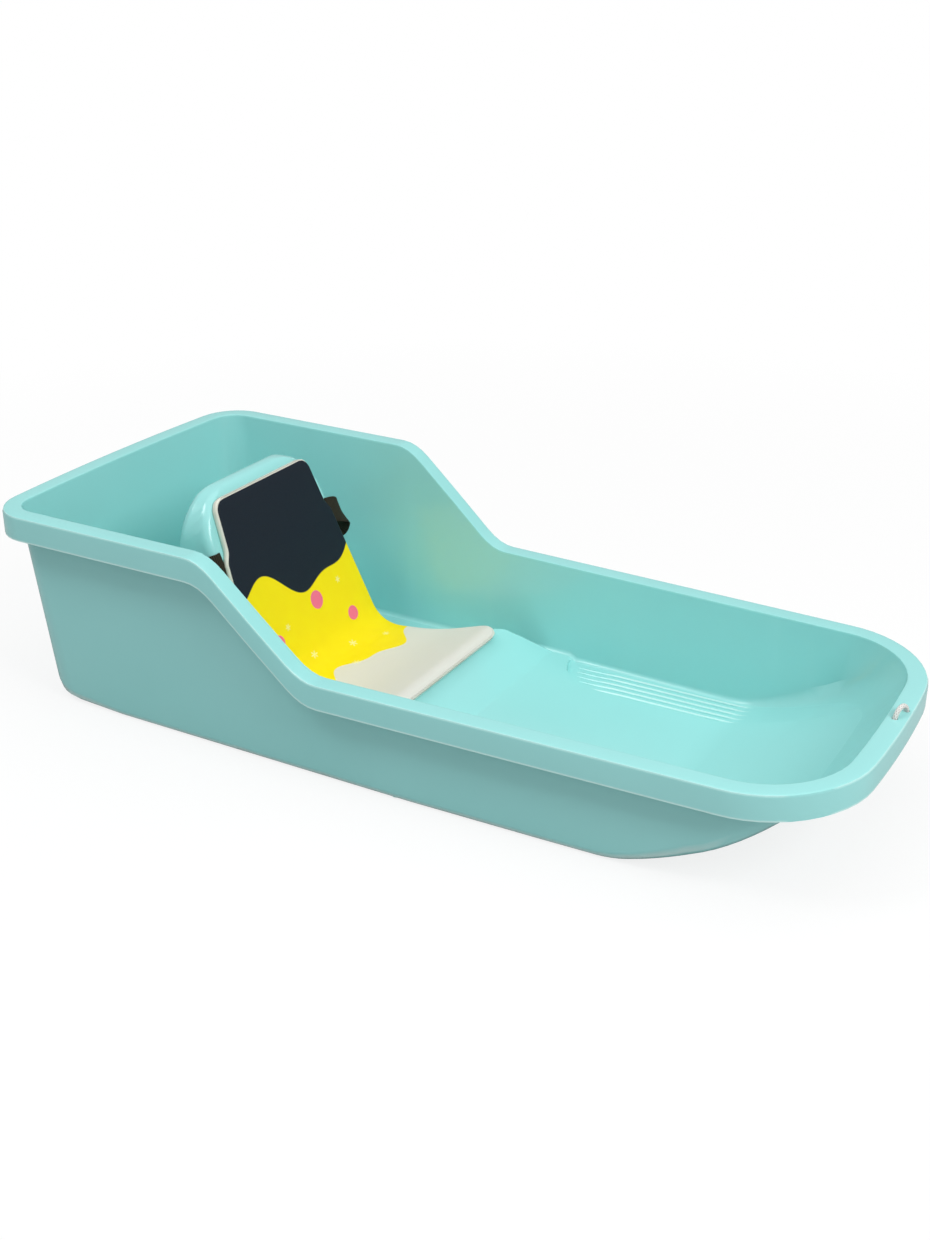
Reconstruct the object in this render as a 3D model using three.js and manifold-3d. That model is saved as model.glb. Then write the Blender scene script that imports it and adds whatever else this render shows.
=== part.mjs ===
// Baby pull sled: a one-piece moulded tub with a built-in seat, a strapped-on foam pad and a tow cord.
// Millimetres, +Z up, +X forward, ground at z = 0, x measured from the rear edge of the rim.
import * as THREE from "three";
import Module from "manifold-3d";
import { mergeVertices } from "three/addons/utils/BufferGeometryUtils.js";

const wasm = await Module();
wasm.setup();

// Driving dimensions
const wall = 3; // moulded wall thickness
const fitGap = 0.3; // clearance between pieces that touch
const overrun = 4; // how far a cutter runs past what it cuts
const leastEdge = 0.01; // edges and slivers finer than this are merged
const samePoint = 1e-4; // points nearer to each other than this are one

const rim = {
  length: 888,
  rearHalfWidth: 199.7,
  midHalfWidth: 197.4,
  midStation: 320,
  frontHalfWidth: 181.4,
  rearHeight: 210,
  frontHeight: 111,
  slopeTop: 271.5, // station where the rim starts to fall
  slopeFoot: 381.6, // station where it is level again
  bendReach: 16,
  rearCorner: 45.5,
  frontCorner: 102,
  rearBow: 8,
  frontBow: 14.5,
  bowReach: 210,
  flange: 20.5,
  skirt: 25.5,
  edgeRound: 3.4,
  lipRound: 2.6,
  underRound: 1,
};

const base = {
  rear: 32,
  front: 858,
  rearHalfWidth: 171,
  midHalfWidth: 170.5,
  midStation: 480,
  frontHalfWidth: 163,
  rearCorner: 46,
  frontCorner: 90,
  rearFillet: 16,
  sideFillet: 5,
  frontFillet: 26,
  rearFilletEnd: 138,
  frontFilletStart: 648,
};

const bow = {
  start: 686, // station where the bottom leaves the ground
  softness: 14,
  tilt: 0.21,
  radius: 326,
};

const runner = {
  depth: 5,
  innerEdge: 107.6,
  shoulder: 3, // sideways run of the step between floor and runner
  landingStart: 432,
  landingEnd: 446,
  start: 487,
  endRadius: 58,
  endRun: 8,
  fadeStart: 708,
  fadeEnd: 840,
};

const rib = { count: 5, pitch: 9.6, width: 3.2, height: 1.5, first: 117, setBack: 6, end: 702, taper: 14 };

const seat = {
  rearFoot: 151.5,
  rearTop: 173,
  topHeight: 222,
  topDepth: 20.3,
  faceFoot: 272.3,
  faceFootHeight: 17,
  sagStation: 348,
  sagHeight: 22,
  crestStation: 413,
  crestHeight: 41.5,
  slopeFoot: 464,
  topRearReach: 9,
  topFrontReach: 8,
  bendReach: 33,
  sagReach: 28,
  crestReach: 9,
  halfWidth: 115, // at ground level, behind the bend
  flareCrest: 23,
  flareFoot: 57,
  topCorner: 48, // radius of the upper corners seen from the front
  sideRound: 7,
};
const draftShare = Math.tan(THREE.MathUtils.degToRad(5));

const pad = {
  top: 214, // height of the upper edge
  front: 419.5, // station of the front edge
  foam: 6.6,
  edgeShare: 0.72, // foam thickness left at the sides
  print: 1.1,
  border: 2.6, // foam left bare round the printed face
  topHalf: 80,
  strapHalf: 86,
  stepHalf: 93.5,
  bendHalf: 107,
  frontHalf: 122,
  strapHeight: 168,
  stepHeight: 152,
  topCorner: 13,
  frontCorner: 20,
};

const strap = {
  width: 28,
  thickness: 1.5,
  clearance: 0.9,
  leftHeight: 147, // of its middle where it meets the pad
  rightHeight: 155,
  rearHeight: 116, // and behind the backrest
  leftBulge: 31, // the slack at the sides
  rightBulge: 4,
  crowding: 1.5, // draws the points of a side towards the face
};

// How far out the band stands from point to point along a side, as shares of its bulge
const outShares = [0.6, 0.95, 1, 0.75, 0.45, 0.3, 0.25];

const cord = {
  diameter: 4.6,
  hole: 5.8,
  holeSides: 20,
  innerHole: { back: 11.8, side: 8.5 }, // from the front edge of the rim and from the middle
  outerHole: { back: 6.3, side: 28 },
  lift: 0.1, // play between the cord and the ground
  tubeSteps: 40,
  tubeSides: 8,
};

// The cord's centre line from its stopper knot to the coil, as points chosen by hand:
// distance back from the front edge, side, and height as a share of the way up to the flange
const cordRoute = [
  [11.8, 8.5, 0.9724],
  [11.8, 8.5, 0.991],
  [11.5, 9.8, 1.0267],
  [10.5, 13.4, 1.0608],
  [9.2, 18.3, 1.0737],
  [7.9, 23.1, 1.0608],
  [6.9, 26.7, 1.0267],
  [6.6, 28, 0.9816],
  [6.8, 28, 0.9263],
  [8.8, 28, 0.8665],
  [13.5, 28, 0.7762],
  [25.5, 28, 0.5792],
  [41.5, 28, 0.3711],
  [61.5, 28, 0.1851],
  [83.5, 28, 0.0589],
  [101.5, 28, 0.0083],
  [113.5, 28, 0],
  [123.1, 28, 0],
];

const coil = {
  meanDiameter: 52,
  turnsPerLayer: 3,
  pitch: 5.5,
  tailTurns: 0.75, // from the last full turn to the free end
  tailFlare: 5,
  stepsPerTurn: 24,
  sides: 6,
};

const knot = {
  diameter: 9.8,
  length: 10,
  wraps: 3,
  sides: 14,
  endShare: 0.84, // radius at both ends
  grooveShare: 0.1,
  offset: 2.3, // the stopper knot sits a little before its hole
};

// Small helpers for lengths along the sled
const clamp = THREE.MathUtils.clamp;
const lerp = THREE.MathUtils.lerp;
const ramp = (x, from, to) => clamp((x - from) / (to - from), 0, 1);
const smooth = (x, from, to) => THREE.MathUtils.smoothstep(x, from, to);

// 0 before a bend, then the distance past it, rounded over reach on both sides
function pastBend(x, station, reach) {
  const past = x - station + reach;
  if (past <= 0) return 0;
  return past < 2 * reach ? (past * past) / (4 * reach) : x - station;
}

function rimHeightAt(x) {
  const fall = (rim.rearHeight - rim.frontHeight) / (rim.slopeFoot - rim.slopeTop);
  const run = pastBend(x, rim.slopeTop, rim.bendReach) - pastBend(x, rim.slopeFoot, rim.bendReach);
  return rim.rearHeight - fall * run;
}

// Height of the runners' underside: level, then a ramp up to the bow
function bottomAt(x) {
  const past = pastBend(x, bow.start, bow.softness);
  return bow.tilt * past + (past * past) / (2 * bow.radius);
}

// Behind the seat the floor lies flat on the ground; before it, it is raised between the runners
const floorRise = (x) =>
  runner.depth * ramp(x, runner.landingStart, runner.landingEnd) * (1 - smooth(x, runner.fadeStart, runner.fadeEnd));
const floorUnder = (x) => bottomAt(x) + floorRise(x);
const floorTop = (x) => floorUnder(x) + wall;

// The runners are hollow from their rounded rear ends forward
const runnerTop = (x) =>
  floorTop(x) - floorRise(x) * ramp(x, runner.start - runner.endRun / 2, runner.start + runner.endRun / 2);

function runnerEdge(x) {
  const before = runner.start + runner.endRadius - x;
  if (before <= 0 || x < runner.landingEnd) return runner.innerEdge;
  const within = Math.min(before, runner.endRadius);
  const outside = Math.sqrt(runner.endRadius ** 2 - within ** 2);
  return runner.innerEdge + runner.endRadius - outside;
}

// The station of the hollow's rounded end at a distance from the middle
function runnerEndAt(side) {
  const within = Math.max(runner.innerEdge + runner.endRadius - side, 0);
  return runner.start + runner.endRadius - Math.sqrt(runner.endRadius ** 2 - within ** 2);
}

// Both ends of the rim are slightly bowed in plan
function bowed(x, y) {
  const across = (y / rim.midHalfWidth) ** 2;
  const rear = rim.rearBow * across * (1 - ramp(x, 0, rim.bowReach)) ** 2;
  const front = rim.frontBow * across * ramp(x, rim.length - rim.bowReach, rim.length) ** 2;
  return x + rear - front;
}

// A surface built from named points: equal points are shared, so neighbouring patches close
class Skin {
  constructor() {
    this.points = [];
    this.faces = [];
    this.known = new Map();
  }
  point([x, y, z]) {
    const key = [x, y, z].map((value) => Math.round(value / samePoint)).join();
    if (!this.known.has(key)) {
      this.known.set(key, this.points.length / 3);
      this.points.push(x, y, z);
    }
    return this.known.get(key);
  }
  triangle(a, b, c) {
    const corners = [a, b, c].map((corner) => this.point(corner));
    if (new Set(corners).size === 3) this.faces.push(...corners);
  }
  quad(a, b, c, d) {
    this.triangle(a, b, c);
    this.triangle(a, c, d);
  }
  // Joins rows of points, each row as long as the next
  sheet(rows, closed = false) {
    for (let i = 0; i + 1 < rows.length; i++) {
      const count = rows[i].length;
      for (let j = 0; j + (closed ? 0 : 1) < count; j++) {
        const next = (j + 1) % count;
        this.quad(rows[i][j], rows[i][next], rows[i + 1][next], rows[i + 1][j]);
      }
    }
  }
  fan(loop) {
    for (let i = 1; i + 1 < loop.length; i++) this.triangle(loop[0], loop[i], loop[i + 1]);
  }
  solid() {
    const made = new wasm.Manifold(
      new wasm.Mesh({
        numProp: 3,
        vertProperties: new Float32Array(this.points),
        triVerts: new Uint32Array(this.faces),
      }),
    );
    if (made.volume() >= 0) return made;
    for (let i = 0; i < this.faces.length; i += 3)
      [this.faces[i + 1], this.faces[i + 2]] = [this.faces[i + 2], this.faces[i + 1]];
    return this.solid();
  }
}

function solidOf(geometry) {
  const bare = geometry.index ? geometry.toNonIndexed() : geometry.clone();
  for (const name of Object.keys(bare.attributes)) if (name !== "position") bare.deleteAttribute(name);
  const merged = mergeVertices(bare, samePoint);
  return new wasm.Manifold(
    new wasm.Mesh({
      numProp: 3,
      vertProperties: merged.attributes.position.array,
      triVerts: new Uint32Array(merged.index.array),
    }),
  );
}

function geometryOf(solid) {
  const { vertProperties, triVerts } = solid.getMesh();
  return new THREE.BufferGeometry()
    .setAttribute("position", new THREE.BufferAttribute(vertProperties.slice(), 3))
    .setIndex(new THREE.BufferAttribute(triVerts.slice(), 1));
}

// Half of a plan outline from the rear centre round the +Y side to the front centre.
// Every outline has the same number of points, so that two of them can be joined.
const edgeSteps = 4;
const rearArcSteps = 8;
const frontArcSteps = 12;

const halfShares = [-1, -0.5, 0, 0.5, 1];
const quarterShares = [0.25, 0.5, 0.75];
const endShares = [0, 0.02, 0.07, 0.15, 0.27, 0.42, 0.6, 0.8, 1];
const rampShares = [0, 0.15, 0.35, 0.6, 0.85, 1];
const sideStations = [
  base.rearFilletEnd,
  (base.rearFilletEnd + rim.slopeTop) / 2,
  ...halfShares.map((share) => rim.slopeTop + share * rim.bendReach),
  (rim.slopeTop + rim.slopeFoot) / 2,
  ...halfShares.map((share) => rim.slopeFoot + share * rim.bendReach),
  runner.landingStart,
  runner.landingEnd,
  runner.start - runner.endRun / 2,
  ...endShares.map((share) => runner.start + share * runner.endRadius),
  (runner.start + runner.endRadius + bow.start) / 2,
  ...halfShares.map((share) => bow.start + share * bow.softness),
  ...rampShares.map((share) =>
    lerp(bow.start + 2 * bow.softness, base.front - base.frontCorner - bow.softness, share),
  ),
].sort((a, b) => a - b);

function halfWidthAt(plan, x) {
  const last = plan.front - plan.frontCorner;
  return x < plan.midStation
    ? lerp(plan.rearHalfWidth, plan.midHalfWidth, ramp(x, plan.rear, plan.midStation))
    : lerp(plan.midHalfWidth, plan.frontHalfWidth, ramp(x, plan.midStation, last));
}

function halfOutline(plan, inset) {
  const points = [];
  const rearX = plan.rear + plan.rearCorner;
  const rearY = halfWidthAt(plan, rearX) - plan.rearCorner;
  const frontX = plan.front - plan.frontCorner;
  const frontY = halfWidthAt(plan, frontX) - plan.frontCorner;
  const rearRadius = plan.rearCorner - inset;
  const frontRadius = plan.frontCorner - inset;
  for (let i = 0; i < edgeSteps; i++) points.push([plan.rear + inset, (rearY * i) / edgeSteps]);
  for (let i = 0; i <= rearArcSteps; i++) {
    const turn = ((i / rearArcSteps) * Math.PI) / 2;
    points.push([rearX - rearRadius * Math.cos(turn), rearY + rearRadius * Math.sin(turn)]);
  }
  for (const x of sideStations) points.push([x, halfWidthAt(plan, x) - inset]);
  for (let i = 0; i <= frontArcSteps; i++) {
    const turn = ((i / frontArcSteps) * Math.PI) / 2;
    points.push([frontX + frontRadius * Math.sin(turn), frontY + frontRadius * Math.cos(turn)]);
  }
  for (let i = edgeSteps - 1; i >= 0; i--) points.push([plan.front - inset, (frontY * i) / edgeSteps]);
  return points;
}

const rimPlan = { ...rim, rear: 0, front: rim.length };

// The reach of the fillet between walls and floor, by station
function filletAt(x) {
  const rear = lerp(base.rearFillet, base.sideFillet, smooth(x, base.rear, base.rearFilletEnd));
  return lerp(rear, base.frontFillet, smooth(x, base.frontFilletStart, base.front));
}

// Points of a fillet as shares of the ways from the corner up the wall and in along the floor
const roundShares = [
  [0.44, 0.11],
  [0.11, 0.44],
];
const creasedShares = [
  [0.3, 0.46],
  [0.05, 0.83],
];

// One skin of the tub below the flange: wall, fillet and floor-side ring, as half rings
function wallRings(topInset, topDrop, grow, heightAt, filletShares) {
  const steepShare = 0.75; // a fillet never takes more of a low wall
  const top = halfOutline(rimPlan, topInset).map(([x, y]) => [x, y, rimHeightAt(x) - topDrop]);
  const foot = halfOutline(base, -grow).map(([x, y]) => [x, y, heightAt(x)]);
  const reach = foot.map(([x]) => filletAt(x) + grow);
  const inner = foot.map(([x, y], i) => {
    const [innerX, innerY] = halfOutline(base, reach[i] - grow)[i];
    return [innerX, innerY, heightAt(innerX)];
  });
  const upper = foot.map((point, i) => {
    const rise = Math.hypot(...top[i].map((value, axis) => value - point[axis]));
    return point.map((value, axis) => lerp(value, top[i][axis], Math.min(reach[i] / rise, steepShare)));
  });
  const bends = filletShares.map(([up, along]) =>
    foot.map((point, i) =>
      point.map((value, axis) => value + up * (upper[i][axis] - value) + along * (inner[i][axis] - value)),
    ),
  );
  return [top, upper, ...bends, inner];
}

const mirrored = ([x, y, z]) => [x, -y, z];
const fullLoop = (half) => [...half, ...half.slice(1, -1).reverse().map(mirrored)];

// Rows across the floor between the two sides, with the step down to the runners.
// The straight ends of the ring are themselves the first and the last row.
function floorRows(edge, runnerSide, stepHeight, floorHeight) {
  const nearShares = [0.985, 0.95];
  const middleShares = [0.5, 0];
  const halves = edge.slice(edgeSteps + 1, -edgeSteps - 1).map((point) => {
    const [x, y] = point;
    const stepFoot = Math.min(runnerSide(x) + runner.shoulder, y * nearShares[0]);
    const stepTop = Math.min(runnerSide(x), y * nearShares[1]);
    const middle = middleShares.map((share) => [x, stepTop * share, floorHeight(x)]);
    return [point, [x, stepFoot, stepHeight(x)], [x, stepTop, floorHeight(x)], ...middle];
  });
  halves.unshift(edge.slice(0, edgeSteps + 1).reverse());
  halves.push(edge.slice(-edgeSteps - 1));
  return halves.map((half) => [...half, ...half.slice(0, -1).reverse().map(mirrored)]);
}

function tubSkin() {
  const skin = new Skin();
  const eighth = Math.SQRT1_2;
  const rimRing = (inset, drop) =>
    halfOutline(rimPlan, inset).map(([x, y]) => [x, y, rimHeightAt(x) - drop]);
  const edge = rim.edgeRound;
  const lip = rim.lipRound;
  const inside = wallRings(rim.flange, lip, 0, runnerTop, creasedShares);
  const under = rim.underRound;
  const outside = wallRings(rim.flange - wall, wall + under, wall, bottomAt, roundShares);
  const flangeTop = [
    rimRing(wall, rim.skirt),
    rimRing(0, rim.skirt),
    rimRing(0, edge),
    rimRing(edge * (1 - eighth), edge * (1 - eighth)),
    rimRing(edge, 0),
    rimRing(rim.flange - lip, 0),
    rimRing(rim.flange - lip * (1 - eighth), lip * (1 - eighth)),
  ];
  const flangeUnder = [rimRing(rim.flange - wall - under, wall), rimRing(wall, wall), rimRing(wall, rim.skirt)];
  const rings = [
    ...[...outside].reverse(),
    ...flangeUnder,
    ...flangeTop.slice(1),
    ...inside,
  ];
  skin.sheet(rings.map(fullLoop), true);
  const floor = floorRows(inside.at(-1), runnerEdge, runnerTop, floorTop);
  skin.sheet(floor.map((row) => [...row].reverse()));
  const underEdge = () => runner.innerEdge - wall;
  skin.sheet(floorRows(outside.at(-1), underEdge, bottomAt, floorUnder));
  return skin.solid();
}

// A path through corners, each rounded over its reach on both sides
function roundedPath(corners, steps) {
  const points = [];
  corners.forEach(([x, z, reach], i) => {
    if (!reach) {
      points.push([x, z]);
      return;
    }
    const corner = new THREE.Vector2(x, z);
    const from = new THREE.Vector2(...corners[i - 1]).sub(corner).setLength(reach).add(corner);
    const to = new THREE.Vector2(...corners[i + 1]).sub(corner).setLength(reach).add(corner);
    const bend = new THREE.QuadraticBezierCurve(from, corner, to);
    for (const point of bend.getPoints(steps)) points.push([point.x, point.y]);
  });
  return points;
}

// Outward normals of an open path that runs from the rear forward over the top
function normalsOf(path) {
  return path.map((point, i) => {
    const from = path[Math.max(i - 1, 0)];
    const to = path[Math.min(i + 1, path.length - 1)];
    const along = new THREE.Vector2(to[0] - from[0], to[1] - from[1]).normalize();
    return [-along.y, along.x];
  });
}

const seatTopFront = seat.rearTop + seat.topDepth;
const faceLean = (seat.faceFoot - seatTopFront) / (seat.topHeight - seat.faceFootHeight);
const faceAt = (z) => seatTopFront + (seat.topHeight - z) * faceLean;
const rearFaceAt = (z) => lerp(seat.rearFoot, seat.rearTop, z / seat.topHeight);
const slopeFall = (seat.crestHeight - floorTop(seat.slopeFoot)) / (seat.slopeFoot - seat.crestStation);
const seatCornerSteps = 5;
const cornerTurns = [75, 60, 45, 30, 15, 0].map(THREE.MathUtils.degToRad);

// The seat and backrest seen from the side, from the rear foot over the top to the slope's foot
function seatPath(footHeight) {
  const corners = [
    [rearFaceAt(footHeight), footHeight],
    [seat.rearTop, seat.topHeight, seat.topRearReach],
    [seatTopFront, seat.topHeight, seat.topFrontReach],
    [seat.faceFoot, seat.faceFootHeight, seat.bendReach],
    [seat.sagStation, seat.sagHeight, seat.sagReach],
    [seat.crestStation, seat.crestHeight, seat.crestReach],
    [seat.crestStation + (seat.crestHeight - footHeight) / slopeFall, footHeight],
  ];
  return roundedPath(corners, seatCornerSteps);
}

// How far an upper corner of the backrest is drawn in, by height
function topCut(z, less) {
  const radius = seat.topCorner - less;
  const above = clamp(z - (seat.topHeight - less) + radius, 0, radius);
  return radius - Math.sqrt(radius ** 2 - above ** 2);
}

// The block widens along the seat, and at the front slope it runs out to the tub's walls
function seatHalfAt(x, z) {
  const along = seat.flareCrest * ramp(x, seat.faceFoot, seat.crestStation) ** 1.5;
  const foot = (seat.flareFoot - seat.flareCrest) * ramp(x, seat.crestStation, seat.slopeFoot) ** 0.75;
  return seat.halfWidth + along + foot - z * draftShare - topCut(z, 0);
}

// A solid under the seat path: rows at several distances from the side, drawn in round the edges
function seatBlock(inset, footHeight, halfAt, round) {
  const slopeRun = seat.slopeFoot - seat.crestStation;
  const cornerLevels = cornerTurns.map((turn) => seat.topHeight - seat.topCorner * (1 - Math.sin(turn)));
  const path = seatPath(footHeight);
  const normals = normalsOf(path);
  const marks = path.flatMap(([x, z], i) => {
    const mark = [x, z, ...normals[i]];
    if (i === path.length - 1) return [mark];
    const next = [...path[i + 1], ...normals[i + 1]];
    const shares = cornerLevels.map((level) => (level - z) / (next[1] - z));
    if (next[0] - x > slopeRun / 2) shares.push(...quarterShares);
    const within = shares.filter((share) => share > 0 && share < 1).sort((a, b) => a - b);
    return [mark, ...within.map((share) => mark.map((value, axis) => lerp(value, next[axis], share)))];
  });
  const drawnIn = (amount) =>
    marks.map(([x, z, outX, outZ], i) => {
      if (i === 0) return [x + amount, footHeight];
      if (i === marks.length - 1) return [x - amount, footHeight];
      return [x - outX * amount, Math.max(z - outZ * amount, footHeight)];
    });
  const rows = [];
  const turns = [0, Math.PI / 6, Math.PI / 3, Math.PI / 2];
  for (const side of [-1, 1]) {
    const sideRows = turns.map((turn) => {
      const drawn = inset + round * (1 - Math.sin(turn));
      const back = round * (1 - Math.cos(turn));
      return drawnIn(drawn).map(([x, z]) => [x, side * (halfAt(x, z) - inset - back), z]);
    });
    rows.push(...(side < 0 ? sideRows : sideRows.reverse()));
  }
  const skin = new Skin();
  skin.sheet(rows);
  // The sides stand under the outer rows, and follow the upper corners down to the foot
  const below = (row, level) =>
    row.map(([x, y, z]) => {
      const height = Math.min(z, level);
      return [x, Math.sign(y) * (halfAt(x, height) - inset), height];
    });
  const innerCorner = seat.topCorner - inset;
  const levels = cornerTurns.map((turn) => seat.topHeight - seat.topCorner + innerCorner * Math.sin(turn));
  const sideUnder = (row) => [...levels, footHeight].map((level) => below(row, level));
  const [near, far] = [sideUnder(rows[0]), sideUnder(rows.at(-1))];
  skin.sheet([...near.reverse(), rows[0]]);
  skin.sheet([rows.at(-1), ...far]);
  skin.sheet([far.at(-1), near[0]]);
  skin.fan(rows.map((row) => row[0]));
  skin.fan(rows.map((row) => row.at(-1)).reverse());
  return skin.solid();
}

// A fine rib along the runner's hollow, tapering to nothing at both ends
function runnerRib(y) {
  const skin = new Skin();
  const start = runnerEndAt(Math.abs(y)) + rib.setBack;
  const shares = [0, 0.04, 0.25, 0.5, 0.75, 0.9, 0.96, 1];
  const rows = shares.map((share) => {
    const x = lerp(start, rib.end, share);
    const grown = Math.min(x - start, rib.end - x, rib.taper) / rib.taper;
    const top = runnerTop(x) + rib.height * (2 * grown - 1);
    const foot = Math.min(runnerTop(x) - wall / 2, top - rib.height);
    const half = rib.width / 2;
    return [
      [x, y - half, foot],
      [x, y - half, top - rib.height / 2],
      [x, y - half / 2, top],
      [x, y + half / 2, top],
      [x, y + half, top - rib.height / 2],
      [x, y + half, foot],
    ];
  });
  skin.sheet(rows, true);
  skin.fan([...rows[0]].reverse());
  skin.fan(rows.at(-1));
  return skin.solid();
}

// Two holes in the front flange, one behind the other, for the tow cord
function cordHole({ back, side }) {
  const radius = cord.hole / 2;
  const drill = new THREE.CylinderGeometry(radius, radius, wall + 2 * overrun, cord.holeSides);
  drill.rotateX(Math.PI / 2).translate(rim.length - back, side, rim.frontHeight - wall / 2);
  return solidOf(drill);
}

function shellGeometry() {
  const footHeight = floorTop(seat.rearFoot) - wall / 2;
  let shell = tubSkin().add(seatBlock(0, footHeight, seatHalfAt, seat.sideRound));
  for (const side of [-1, 1])
    for (let i = 0; i < rib.count; i++) shell = shell.add(runnerRib(side * (rib.first + i * rib.pitch)));
  const innerHalf = (x, z) => seat.halfWidth - z * draftShare - topCut(z, wall);
  shell = shell.subtract(seatBlock(wall, -overrun, innerHalf, seat.sideRound - wall));
  for (const hole of [cord.innerHole, cord.outerHole]) shell = shell.subtract(cordHole(hole));
  const bend = (at) => {
    at[0] = bowed(at[0], at[1]);
  };
  return geometryOf(shell.warp(bend).simplify(leastEdge));
}

// The pad follows the backrest and the seat: rows along the seat path, each with its half width
function padRows() {
  const path = seatPath(0);
  const normals = normalsOf(path);
  const start = path.findIndex(([x, z], i) => i > 2 * seatCornerSteps && z < pad.top);
  const rows = [];
  let along = 0;
  const add = (x, z, normal) => {
    const before = rows.at(-1);
    along += before ? Math.hypot(x - before.x, z - before.z) : 0;
    rows.push({ x, z, normal, along });
  };
  const lean = new THREE.Vector2(1, faceLean).normalize();
  const faceNormal = [lean.x, lean.y];
  const heights = [
    pad.top,
    ...[0.12, 0.35, 0.7, 1].map((share) => pad.top - pad.topCorner * share),
    (pad.top + pad.strapHeight) / 2,
    pad.strapHeight,
    ...[...quarterShares, 1].map((share) => lerp(pad.strapHeight, pad.stepHeight, share)),
    ...quarterShares.map((share) => lerp(pad.stepHeight, path[start][1], share)),
  ];
  for (const z of heights) add(faceAt(z), z, faceNormal);
  const cornerStart = pad.front - pad.frontCorner;
  const onSeat = (x) => {
    const next = path.findIndex(([at], i) => i > start && at >= x);
    const share = ramp(x, path[next - 1][0], path[next][0]);
    const between = (list) => list[next - 1].map((value, axis) => lerp(value, list[next][axis], share));
    return [...between(path), between(normals)];
  };
  const bends = path.slice(start).map(([x]) => x);
  const stations = [
    ...bends.filter((x) => x < pad.front),
    (Math.max(...bends.filter((x) => x < cornerStart)) + cornerStart) / 2,
    ...[0, 0.25, 0.5, 0.7, 0.85, 0.95, 1].map((share) => cornerStart + pad.frontCorner * share),
  ].sort((a, b) => a - b);
  for (const x of stations) add(...onSeat(x));
  return rows;
}

// Half width of the pad's back part by height
const bendHeight = seat.faceFootHeight + seat.bendReach;
const backMarks = [
  [pad.top, pad.topHalf],
  [pad.strapHeight, pad.strapHalf],
  [pad.stepHeight, pad.stepHalf],
  [bendHeight, pad.bendHalf],
];

function halfBetween(marks, place) {
  const next = Math.max(marks.findIndex(([at]) => at >= place), 1);
  const [[from, fromHalf], [to, toHalf]] = [marks[next - 1], marks[next]];
  return lerp(fromHalf, toHalf, ramp(place, from, to));
}

const padHalfAt = (z) => halfBetween([...backMarks].reverse(), z);

function withHalfWidths(rows) {
  const total = rows.at(-1).along;
  const marks = backMarks.map(([z, half]) => [(pad.top - z) * Math.hypot(1, faceLean), half]);
  marks.push([total, pad.frontHalf]);
  const corner = (radius, distance) =>
    distance < radius ? radius - Math.sqrt(radius ** 2 - (radius - distance) ** 2) : 0;
  return rows.map((row) => {
    const cut = corner(pad.topCorner, row.along) + corner(pad.frontCorner, total - row.along);
    return { ...row, half: halfBetween(marks, row.along) - cut };
  });
}

const padShape = withHalfWidths(padRows());

// Foam thickness across the pad: full in the middle, drawn in at the sides and ends
function foamAt(share, row) {
  const toEnd = Math.min(row.along, padShape.at(-1).along - row.along);
  const side = 1 - Math.abs(share) ** 6;
  const end = 1 - (1 - Math.min(toEnd / (3 * pad.foam), 1)) ** 4;
  return pad.foam * lerp(pad.edgeShare, 1, side * end);
}

const acrossShares = [1, 0.97, 0.9, 0.72, 0.45, 0.15].flatMap((share) => [-share, share]).sort((a, b) => a - b);

function blanket(rows, lowerAt, upperAt) {
  const skin = new Skin();
  const place = (row, share, height) => [
    row.x + row.normal[0] * height,
    share * row.half,
    row.z + row.normal[1] * height,
  ];
  const lower = rows.map((row) => acrossShares.map((share) => place(row, share, lowerAt(share, row))));
  const upper = rows.map((row) => acrossShares.map((share) => place(row, share, upperAt(share, row))));
  skin.sheet(upper);
  skin.sheet(lower.map((row) => [...row].reverse()));
  skin.sheet([upper, lower].map((layer) => layer.map((row) => row[0])));
  skin.sheet([lower, upper].map((layer) => layer.map((row) => row.at(-1))));
  skin.sheet([lower[0], upper[0]]);
  skin.sheet([upper.at(-1), lower.at(-1)]);
  return geometryOf(skin.solid());
}

const foamLift = fitGap;
const foamGeometry = () => blanket(padShape, () => foamLift, (share, row) => foamLift + foamAt(share, row));

function printGeometry() {
  const total = padShape.at(-1).along;
  const rows = padShape
    .filter((row) => row.along > pad.border / 2 && row.along < total - pad.border / 2)
    .map((row) => ({ ...row, foamHalf: row.half, half: row.half - pad.border }));
  const under = (share, row) => foamLift + foamAt((share * row.half) / row.foamHalf, row) + fitGap;
  return blanket(rows, under, (share, row) => under(share, row) + pad.print);
}

// A flat ribbon along a path; each stop gives its place and the way the ribbon's face looks
function ribbonGeometry(stops, width, thickness) {
  const places = stops.map((stop) => new THREE.Vector3(...stop.at));
  const faces = stops.map((stop) => new THREE.Vector3(...stop.face).normalize());
  const rows = places.map((place, i) => {
    const along = places[Math.min(i + 1, places.length - 1)].clone().sub(places[Math.max(i - 1, 0)]).normalize();
    const face = faces[i].clone().addScaledVector(along, -faces[i].dot(along)).normalize();
    const across = along.clone().cross(face).multiplyScalar(width / 2);
    const out = face.multiplyScalar(thickness / 2);
    const corner = (a, b) => place.clone().addScaledVector(across, a).addScaledVector(out, b).toArray();
    return [corner(-1, -1), corner(0, -1), corner(1, -1), corner(1, 1), corner(0, 1), corner(-1, 1)];
  });
  const skin = new Skin();
  skin.sheet(rows, true);
  skin.fan([...rows[0]].reverse());
  skin.fan(rows.at(-1));
  return geometryOf(skin.solid());
}

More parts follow.
